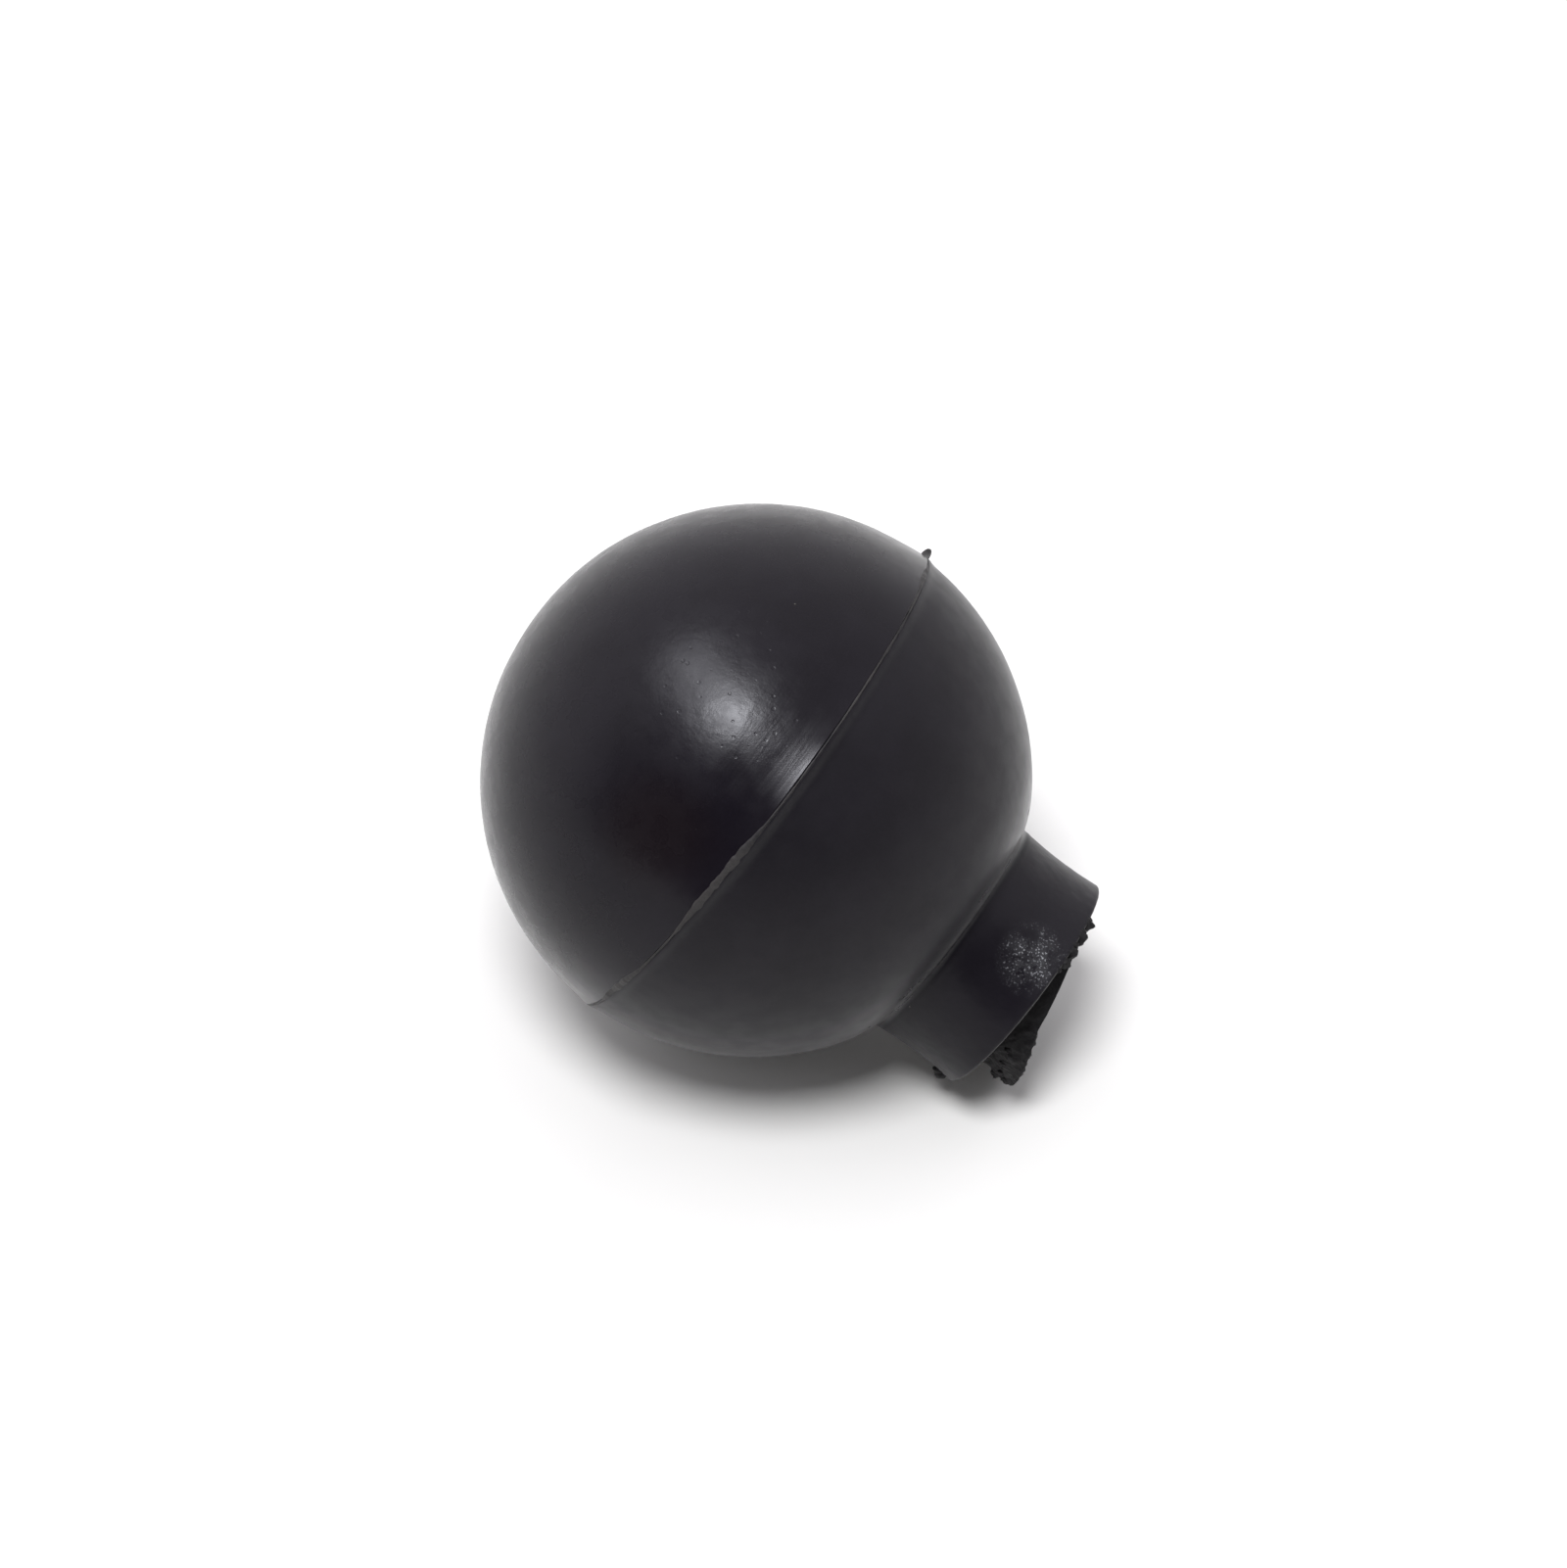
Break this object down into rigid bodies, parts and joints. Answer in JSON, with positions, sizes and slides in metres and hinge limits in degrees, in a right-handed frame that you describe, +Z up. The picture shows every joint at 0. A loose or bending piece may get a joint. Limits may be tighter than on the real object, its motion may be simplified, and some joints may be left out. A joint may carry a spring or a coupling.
{
  "type": "case opening friction ball",
  "caption": "Hollow black rubber ball with a seam round its middle and a short plugged neck, pressed on a watch's screwed case back and turned to open it.",
  "frame": {"origin": "centre of the underside of the bounding box, on the surface that the ball lies on", "axes": "+Z up, +X towards the neck, whose axis lies in the XZ plane and dips 30.4 degrees below +X, +Y to the left of the neck"},
  "size_m": [0.068, 0.0602, 0.0596],
  "materials": {
    "shell_rubber": "moulded matte with a dull polish on the rear half",
    "seam_cement": "paler cured cement bead",
    "plug_rubber": "cut and torn, granular"
  },
  "bodies": {
    "ball": {"front_half_shell": "shell_rubber", "seam_bond_ring": "seam_cement", "neck_tube": "shell_rubber", "neck_plug": "plug_rubber"},
    "pressing_dome": {"rear_half_shell": "shell_rubber"}
  },
  "joints": [
    {"name": "dome_press", "type": "slide", "parent": "ball", "child": "pressing_dome", "axis": [0.8627, 0, -0.5057], "range_m": [0, 0.008], "stiffness_N_per_m": 3000, "deforming": ["rear_half_shell"]}
  ]
}
